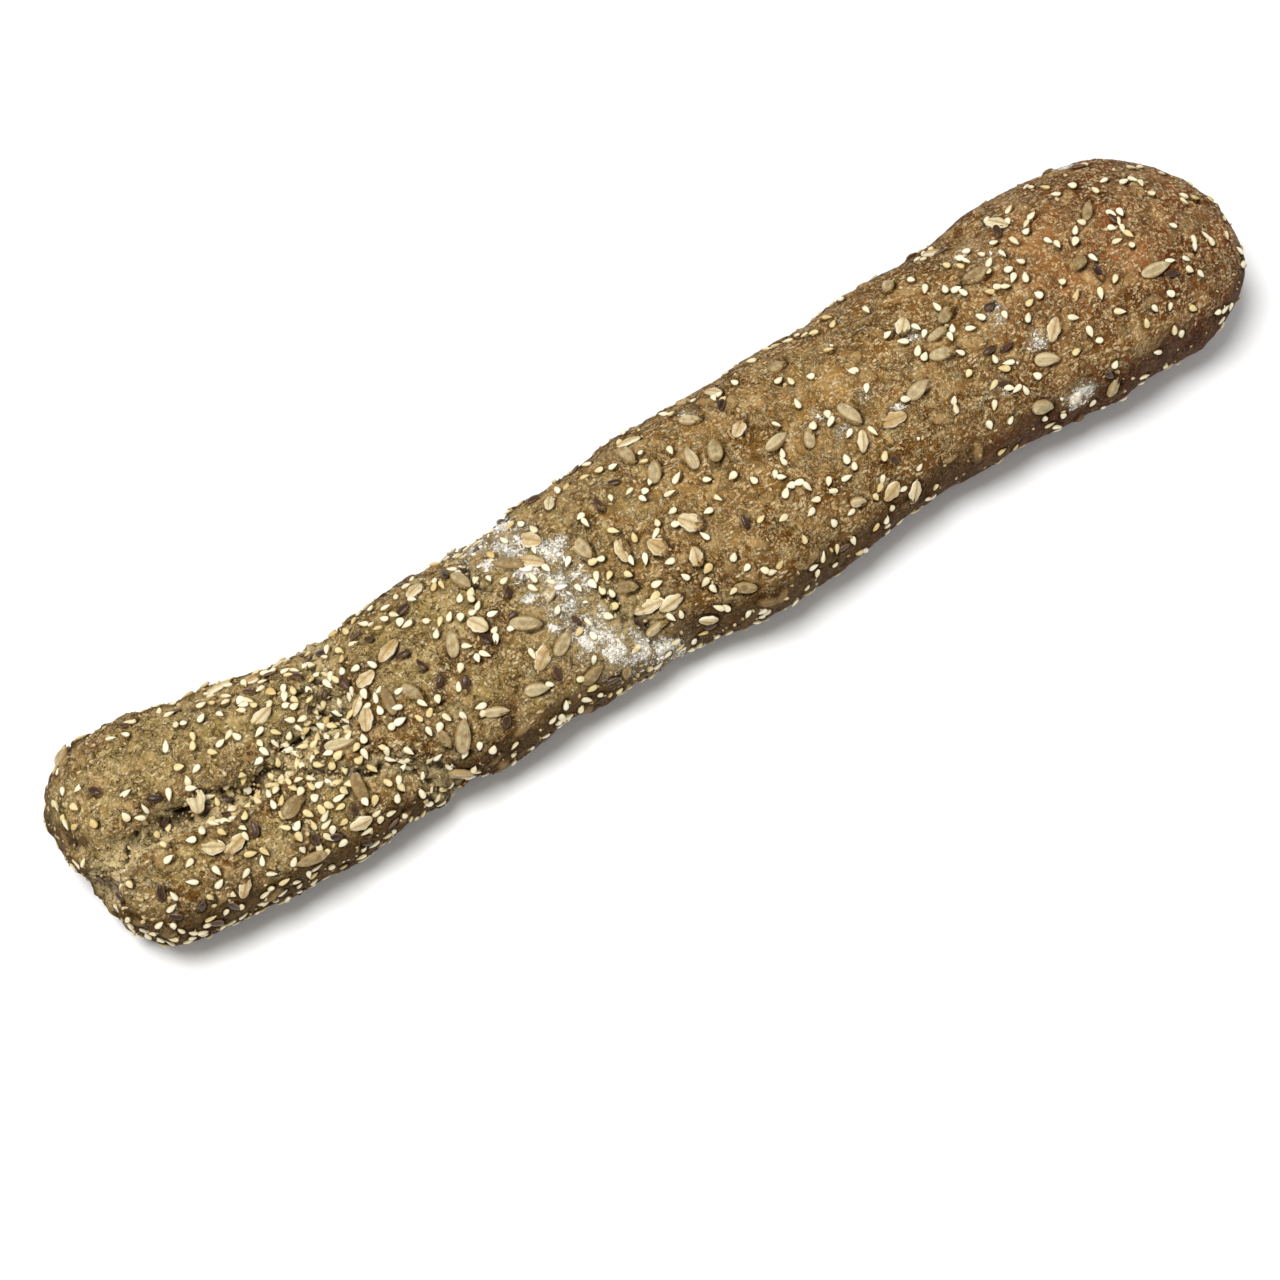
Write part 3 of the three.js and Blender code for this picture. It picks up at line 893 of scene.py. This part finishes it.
class BAGUETTE_OT_stage(bpy.types.Operator):
    """Lay the pale floor and set the lights and the camera"""

    bl_idname = "baguette.stage"
    bl_label = "Set the stage"

    def execute(self, context):
        scene = context.scene
        reach, sides = 1.6, 64
        mesh = bpy.data.meshes.new("floor")
        rim = [(reach * math.cos(t), reach * math.sin(t), -FLOOR_GAP)
               for t in np.linspace(0, 2 * math.pi, sides, endpoint=False)]
        mesh.from_pydata(rim, [], [list(range(sides))])
        floor = bpy.data.objects.new("floor", mesh)
        scene.collection.objects.link(floor)
        # Matt white laminate: a smooth pale board, its tone even but for a trace of cloudiness.
        material, tree = new_material("matt_white_board")
        where = add(tree, "ShaderNodeTexCoord", output="Object")
        cloud = add(tree, "ShaderNodeTexNoise", {}, {"Vector": where, "Scale": per(530), "Detail": 2.0})
        tint = paint(tree, "#fbfbfa", ("#fdfdfc", cloud))
        cover(tree, {"Base Color": tint, "Roughness": 0.85})
        mesh.materials.append(material)

        world = bpy.data.worlds.new("studio")
        world.use_nodes = True
        scene.world = world
        backdrop = world.node_tree.nodes["Background"]
        backdrop.inputs["Color"].default_value = linear("#ffffff")
        backdrop.inputs["Strength"].default_value = 0.33
        # Lamps: place and size in metres, and power in watts.
        for name, place, size, power in (
            ("key", (-0.34, 0.12, 1.45), 0.6, 20.0),
            ("fill", (0.9, -0.9, 0.9), 1.2, 3.0),
        ):
            light = bpy.data.lights.new(name, "AREA")
            light.shape = "DISK"
            light.size = size
            light.energy = power
            lamp = bpy.data.objects.new(name, light)
            lamp.location = place
            lamp.rotation_euler = (-Vector(place)).to_track_quat("-Z", "Y").to_euler()
            scene.collection.objects.link(lamp)

        # The camera looks down from the front and a little from the blunt end.
        azimuth, elevation, distance = math.radians(-33), math.radians(68), 0.742
        back = Vector((math.sin(azimuth) * math.cos(elevation),
                       -math.cos(azimuth) * math.cos(elevation), math.sin(elevation)))
        right = Vector((math.cos(azimuth), math.sin(azimuth), 0))
        up = back.cross(right)
        aim = Vector((-25.6, -20.8, 9.3)) * MM
        camera = bpy.data.objects.new("camera", bpy.data.cameras.new("camera"))
        camera.data.lens = 70
        camera.data.sensor_width = 36
        camera.data.clip_start = 0.01
        turned = Matrix((right, up, back)).transposed().to_4x4()
        camera.matrix_world = Matrix.Translation(aim + back * distance) @ turned
        scene.collection.objects.link(camera)
        scene.camera = camera
        scene.view_settings.view_transform = "Standard"
        return {"FINISHED"}


class BAGUETTE_OT_crust(bpy.types.Operator):
    """Bake the crust: the loaf's skin with its tear, seams, cracks, blisters and flour"""

    bl_idname = "baguette.crust"
    bl_label = "Bake the crust"

    def execute(self, context):
        dough = context.scene.baguette_dough
        mesh = fine_skin(dough.spacing)
        places = numbers(mesh.vertices, "co", 3)
        normals = numbers(mesh.vertex_normals, "vector", 3)
        height, lean, marks = crust_relief(places, normals, dough.bump)
        pushed, marks["lifted"], shade_ring = covered_seeds(places, normals, dough.covered)
        height += pushed * (1 - marks["torn"])
        # Painted shade in a ring round each covered seed, outside the tear.
        marks["deep"] = np.maximum(marks["deep"], shade_ring * (1 - marks["torn"]))
        # The underside keeps flat where it lay on the tray, but for shallow dimples.
        under = ease(0.7, 0.95, -normals[:, 2]) * ease(2.5 * MM, 0.8 * MM, places[:, 2])
        dimples = 0.25 * MM * np.clip(noise(places, 6 * MM, 41), 0, 1)
        moved = places + normals * (height * (1 - under))[:, None] + lean
        moved[:, 2] += under * dimples
        moved[:, 2] = np.maximum(moved[:, 2], 0)
        marks["baked"] += 0.25 * under
        mesh.vertices.foreach_set("co", moved.ravel())
        mesh.update()
        finish_mesh(mesh, skin_map(mesh, places), marks)
        lie = mesh.attributes.new("lie", "FLOAT_VECTOR", "POINT")
        lie.data.foreach_set("vector", normals.ravel())
        crust = new_piece("crust", mesh, crust_material(context.scene.baguette_colours))
        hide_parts("loaf")
        return {"FINISHED"}


def kernel_surface(places, length, width, thick):
    """Shallow ridges along a sunflower kernel and a slight sag in its middle."""
    across = places[:, 1] / width
    inside = np.clip(1 - (2 * places[:, 0] / length) ** 2, 0, 1)
    ridges = 0.1 * thick * np.cos(across * 18) * inside
    places[:, 2] += np.sign(places[:, 2]) * ridges
    places += (0.14 * noise(places + length, 0.3 * length, 42) * inside)[:, None] * places
    places[:, 2] += 0.24 * thick * noise(places + 2 * length, 0.28 * length, 43) * inside
    places[:, 1] += 0.05 * width * np.sin(places[:, 0] / length * 5)
    return places


def flake_surface(places, length, width, thick):
    """A rolled grain: its groove down the middle, a bent plate and an uneven outline."""
    across = 2 * places[:, 1] / width
    along = 2 * places[:, 0] / length
    groove = 0.75 * bell(across, 0.16) + 0.3 * bell(abs(across) - 0.5, 0.13)
    places[:, 2] -= np.where(places[:, 2] > 0, groove * thick * 0.6, 0) * (1 - along ** 2)
    places[:, 2] -= 0.35 * thick * along ** 2 + 0.3 * thick * across ** 2
    places[:, 1] *= 1 + 0.1 * np.sin(along * 4 + 1) + 0.07 * np.sin(along * 9 + length / MM)
    return places


class BAGUETTE_OT_kernels(bpy.types.Operator):
    """Press in the sunflower kernels"""

    bl_idname = "baguette.kernels"
    bl_label = "Sunflower kernels"

    def execute(self, context):
        topping = context.scene.baguette_topping
        bed, rng = Bed(), np.random.default_rng(51)
        size = np.array([1, 0.48, 0.27]) * topping.kernel_length
        kinds = ((1, 0.85), (0.92, 0.95), (1.04, 0.75), (0.85, 0.8))
        shapes = seed_shapes(size, 11, 16, 0.5, 0.85, kinds, kernel_surface)
        extra = by_hand(bed, KERNEL_PLACES)
        TAKEN.extend((place, 3.4 * MM) for place, _, _ in extra + by_hand(bed, FLAKE_PLACES))
        density = np.interp(bed.x, (-200, -130, -40, 60, 130, 165), (0.02, 0.07, 0.08, 0.09, 0.08, 0.01))
        density *= bed.upper
        faces = bed.pick(density * topping.kernels, 8 * MM, rng, ROOM, 3.2 * MM)
        # Hulled sunflower kernel: a soft dry seed, toasted from grey green to tan, dull and ridged.
        # Its darker rim colour is painted shade along each kernel's edge.
        material = seed_material("toasted_sunflower_kernel", "#dcc89b", "#8e7346", "#aa8d5d", 1.8, 0.6,
                                 lines=0.25)
        lay_seeds(bed, "sunflower_kernels", shapes, faces, rng, (0.34, 0.74), 0.14, (1, 1), material,
                  extra=extra)
        return {"FINISHED"}


class BAGUETTE_OT_flakes(bpy.types.Operator):
    """Press in the rolled grain flakes"""

    bl_idname = "baguette.flakes"
    bl_label = "Grain flakes"

    def execute(self, context):
        topping = context.scene.baguette_topping
        bed, rng = Bed(), np.random.default_rng(52)
        size = np.array([1, 0.58, 0.2]) * topping.flake_length
        kinds = (((1, 1, 1), 0.5), ((0.94, 0.86, 1.1), 0.58), ((1.06, 0.92, 1), 0.52))
        shapes = seed_shapes(size, 12, 20, 0.45, 0.9, kinds, flake_surface)
        extra = by_hand(bed, FLAKE_PLACES)
        density = np.interp(bed.x, (-200, -130, -40, 60, 150, 165), (0.06, 0.1, 0.08, 0.05, 0.03, 0.0))
        density *= bed.upper
        faces = bed.pick(density * topping.flakes, 9 * MM, rng, ROOM, 3 * MM)
        # Rolled oat or spelt flake: steamed grain pressed flat, cream at its rim and toasted inside.
        material = seed_material("rolled_grain_flake", "#ecdcb0", "#c19c62", "#f8efd4", 1.7, 0.65,
                                 lines=0.18, groove=0.55)
        lay_seeds(bed, "grain_flakes", shapes, faces, rng, (0.15, 0.5), 0.12, (1.6, 2.2), material,
                  extra=extra)
        return {"FINISHED"}


class BAGUETTE_OT_linseed(bpy.types.Operator):
    """Press in the linseeds"""

    bl_idname = "baguette.linseed"
    bl_label = "Linseed"

    def execute(self, context):
        topping = context.scene.baguette_topping
        bed, rng = Bed(), np.random.default_rng(53)
        size = np.array([1, 0.5, 0.26]) * topping.linseed_length
        shapes = seed_shapes(size, 9, 12, 0.48, 0.95, ((1, 0.7), (0.92, 0.7), (1.05, 0.7)))
        density = np.interp(bed.x, (-200, -120, -60, 20, 60, 125, 160),
                            (0.2, 0.3, 0.32, 0.15, 0.12, 0.1, 0.02))
        density += 0.5 * bed.patch(-115, 60, 12, 22) + 0.15 * bed.torn
        density += 0.3 * bed.patch(103, 75, 10, 14) + 0.5 * bed.patch(-72, 92, 12, 9)
        density *= np.where(bed.x > 0, bed.upper, 1)
        faces = bed.pick(density * topping.linseed, 4 * MM, rng, MM, 1.9 * MM)
        # Brown linseed: a flat seed with a hard, polished skin that shows the lamps as small glints.
        # Its paler rim colour is a painted highlight along each seed's edge.
        material = seed_material("brown_linseed", "#5f3f28", "#2c1b0f", "#80624a", 1.5, 0.32,
                                 lines=0.4, shine=0.4)
        lay_seeds(bed, "linseed", shapes, faces, rng, (0.25, 0.7), 0.2, (2, 2), material)
        return {"FINISHED"}


class BAGUETTE_OT_sesame(bpy.types.Operator):
    """Strew the sesame, pale and golden"""

    bl_idname = "baguette.sesame"
    bl_label = "Sesame"

    def execute(self, context):
        topping = context.scene.baguette_topping
        bed, rng = Bed(), np.random.default_rng(54)
        size = np.array([1, 0.62, 0.3]) * topping.sesame_length
        kinds = (((1, 1, 1), 0.95), ((0.94, 0.95, 1.1), 0.85), ((1.05, 0.9, 1), 1.05),
                 ((0.9, 1.05, 0.95), 0.9))
        shapes = seed_shapes(size, 7, 10, 0.5, 0.9, kinds)
        density = np.interp(bed.x, (-200, -120, -95, -70, -20, 20, 100, 160),
                            (2.0, 3.2, 2.5, 2.1, 1.6, 1.05, 1.0, 0.85))
        # Thicker patches: how much thicker, then place, angle, length and width.
        for more, *patch in (
            (11, -138, 122, 19, 10), (7, -126, 76, 12, 13), (3, -178, 93, 14, 5), (3, -180, 185, 30, 10),
            (1.6, -112, 105, 12, 25), (3, -68, 78, 5, 14), (1.5, 0, 128, 20, 12),
            (0.9, -20, 178, 110, 9), (1.5, 158, 96, 7, 5),
        ):
            density += more * bed.patch(*patch)
        density *= 1 - 0.8 * bed.patch(-172, 55, 24, 22)
        density += 9 * bed.patch(156, 90, 5, 4) + 5 * bed.patch(118, 76, 7, 5)
        density *= 1 - 0.75 * bed.patch(-180, 135, 14, 10)
        density *= 1 - 0.8 * bed.torn * ease(-158, -168, bed.x)
        density *= 1 - 0.85 * bed.deep
        faces = bed.pick(density * topping.sesame, 2.1 * MM, rng)
        golden = rng.random(len(faces)) < (
            0.17 + 0.3 * bed.torn + 0.35 * bed.patch(-138, 118, 24, 14))[faces]
        for name, picked, pale, deep, rim in (
            ("sesame_pale", faces[~golden], "#fbf4da", "#ead9aa", "#cbb57c"),
            ("sesame_golden", faces[golden], "#f0e0ac", "#d9b973", "#bfa262"),
        ):
            # Hulled white sesame, some of it toasted: smooth, a little oily, brighter than the crust.
            # The darker rim colour is painted shade along each seed's edge.
            material = seed_material(name, pale, deep, rim, 1.6, 0.45)
            lay_seeds(bed, name, shapes, picked, rng, (0.22, 0.55), 0.18, (1.6, 2.4), material)
        return {"FINISHED"}


def crumb_shapes(count):
    """A few lumpy grains, each a small ball pushed out of round."""
    shapes = []
    for k in range(count):
        places, faces, uv, tip, edge = oval_shape(np.array([1.3, 1, 0.7]) * MM, 3, 6, 0.5, 0.5, 0.8)
        places = places * (1 + 0.35 * noise(places, 0.5 * MM, 60 + k))[:, None]
        shapes.append((places, faces, uv, tip * 0.5, edge * 0.5))
    return shapes


class BAGUETTE_OT_crumbs(bpy.types.Operator):
    """Add crumbs along the tear and the seams, and grains of flour"""

    bl_idname = "baguette.crumbs"
    bl_label = "Crumbs and flour"

    def execute(self, context):
        topping = context.scene.baguette_topping
        bed, rng = Bed(), np.random.default_rng(55)
        shapes = crumb_shapes(6)
        density = 1.2 + 1.8 * ease(40, -60, bed.x) + 14 * bed.torn
        faces = bed.pick(density * topping.crumbs, 0.7 * MM, rng)
        # Crumbs and flecks of bran: torn bread, dry and dull, from cream to the crust's brown.
        material = seed_material("bread_crumb", "#dcc697", "#a3824f", "#c0a570", 0.8, 0.85, shine=0.2)
        lay_seeds(bed, "crumbs", shapes, faces, rng, (0.3, 0.7), 0.5, (2, 2), material, 0.3)
        density = 30 * ease(0.4, 1.0, bed.floured + 0.4 * noise(bed.places, 5 * MM, 56)) + 0.01
        faces = bed.pick(density * topping.crumbs, 0.6 * MM, rng)
        # Wheat flour clotted into tiny white lumps by the dough's moisture.
        material = seed_material("clotted_flour", "#fffaf0", "#efe6d0", "#f8f1e0", 0.7, 0.9)
        lay_seeds(bed, "flour_grains", shapes, faces, rng, (0.4, 0.8), 0.5, (1.5, 3), material,
                  0.35)
        return {"FINISHED"}


class BAGUETTE_OT_settle(bpy.types.Operator):
    """Settle the skin round the seeds: a narrow gap beside each, darkened as painted shade, and a low
    swell beyond it
    """

    bl_idname = "baguette.settle"
    bl_label = "Settle the skin"

    def execute(self, context):
        mesh = baked_crust().data
        places = numbers(mesh.vertices, "co", 3)
        lie = numbers(mesh.attributes["lie"].data, "vector", 3)
        deep = numbers(mesh.attributes["deep"].data, "value")
        uneven = noise(places, 3 * MM, 71)
        tree = KDTree(len(places))
        for i, place in enumerate(places):
            tree.insert(place, i)
        tree.balance()
        gap, swell = np.zeros(len(places)), np.zeros(len(places))
        for middle, up, way, half_length, half_width in PRESSED:
            near = np.array([i for _, i, _ in tree.find_range(middle, half_length + 2 * MM)], int)
            if len(near) == 0:
                continue
            away = places[near] - middle
            along, across = away @ way / half_length, away @ np.cross(up, way) / half_width
            reach = np.hypot(along, across) + 1e-6
            beyond = (1 - 1 / reach) * np.linalg.norm(away, axis=1) / MM
            size = min(1.25, half_width / MM)
            # The gap is wider, deeper and its painted shade darker on the side away from the key lamp.
            front = away @ AWAY_FROM_KEY / np.linalg.norm(away, axis=1).clip(1e-6)
            wide = 0.42 + 0.22 * size * np.clip(front, 0, 1)
            cut = size * (0.7 + 0.45 * front) * bell(beyond - 0.15, wide)
            gap[near] = np.maximum(gap[near], cut)
            swell[near] = np.maximum(swell[near], size * bell(beyond - 1.2, 0.6))
        gap = np.clip(gap, 0, 1.2)
        change = -0.65 * gap * (1 + uneven) + 0.2 * swell * np.clip(1 - gap, 0, 1) * (0.6 + uneven)
        change *= ease(0.2 * MM, 1.5 * MM, places[:, 2])
        places += lie * (change * MM)[:, None]
        places[:, 2] = np.maximum(places[:, 2], 0)
        # Painted shade in the gap round each seed.
        deep = np.maximum(deep, 0.95 * np.clip(gap * (0.85 + 0.6 * uneven), 0, 1))
        mesh.vertices.foreach_set("co", places.ravel())
        mesh.attributes["deep"].data.foreach_set("value", deep.astype(np.float32))
        mesh.update()
        return {"FINISHED"}


OPERATORS = (
    BAGUETTE_OT_stage, BAGUETTE_OT_crust, BAGUETTE_OT_kernels, BAGUETTE_OT_flakes,
    BAGUETTE_OT_linseed, BAGUETTE_OT_sesame, BAGUETTE_OT_settle, BAGUETTE_OT_crumbs,
)


class BAGUETTE_PT_sidebar(bpy.types.Panel):
    """Lists the baguette's steps and sizes"""

    bl_idname = "BAGUETTE_PT_sidebar"
    bl_label = "Seeded Baguette"
    bl_space_type = "VIEW_3D"
    bl_region_type = "UI"
    bl_category = "Baguette"

    def draw(self, context):
        for group in (context.scene.baguette_dough, context.scene.baguette_topping,
                      context.scene.baguette_colours):
            box = self.layout.box()
            for name in group.bl_rna.properties.keys():
                if name not in ("rna_type", "name"):
                    box.prop(group, name)
        for operator in OPERATORS:
            self.layout.operator(operator.bl_idname)


GROUPS = {
    "baguette_dough": BaguetteDough,
    "baguette_topping": BaguetteTopping,
    "baguette_colours": BaguetteColours,
}


def register():
    for name, group in GROUPS.items():
        bpy.utils.register_class(group)
        setattr(bpy.types.Scene, name, bpy.props.PointerProperty(type=group))
    for operator in OPERATORS:
        bpy.utils.register_class(operator)
    bpy.utils.register_class(BAGUETTE_PT_sidebar)


def unregister():
    bpy.utils.unregister_class(BAGUETTE_PT_sidebar)
    for operator in reversed(OPERATORS):
        bpy.utils.unregister_class(operator)
    for name, group in GROUPS.items():
        delattr(bpy.types.Scene, name)
        bpy.utils.unregister_class(group)


def main():
    register()
    bpy.ops.baguette.stage()
    bpy.ops.baguette.crust()
    bpy.ops.baguette.kernels()
    bpy.ops.baguette.flakes()
    bpy.ops.baguette.linseed()
    bpy.ops.baguette.sesame()
    bpy.ops.baguette.settle()
    bpy.ops.baguette.crumbs()


if __name__ == "__main__":
    main()
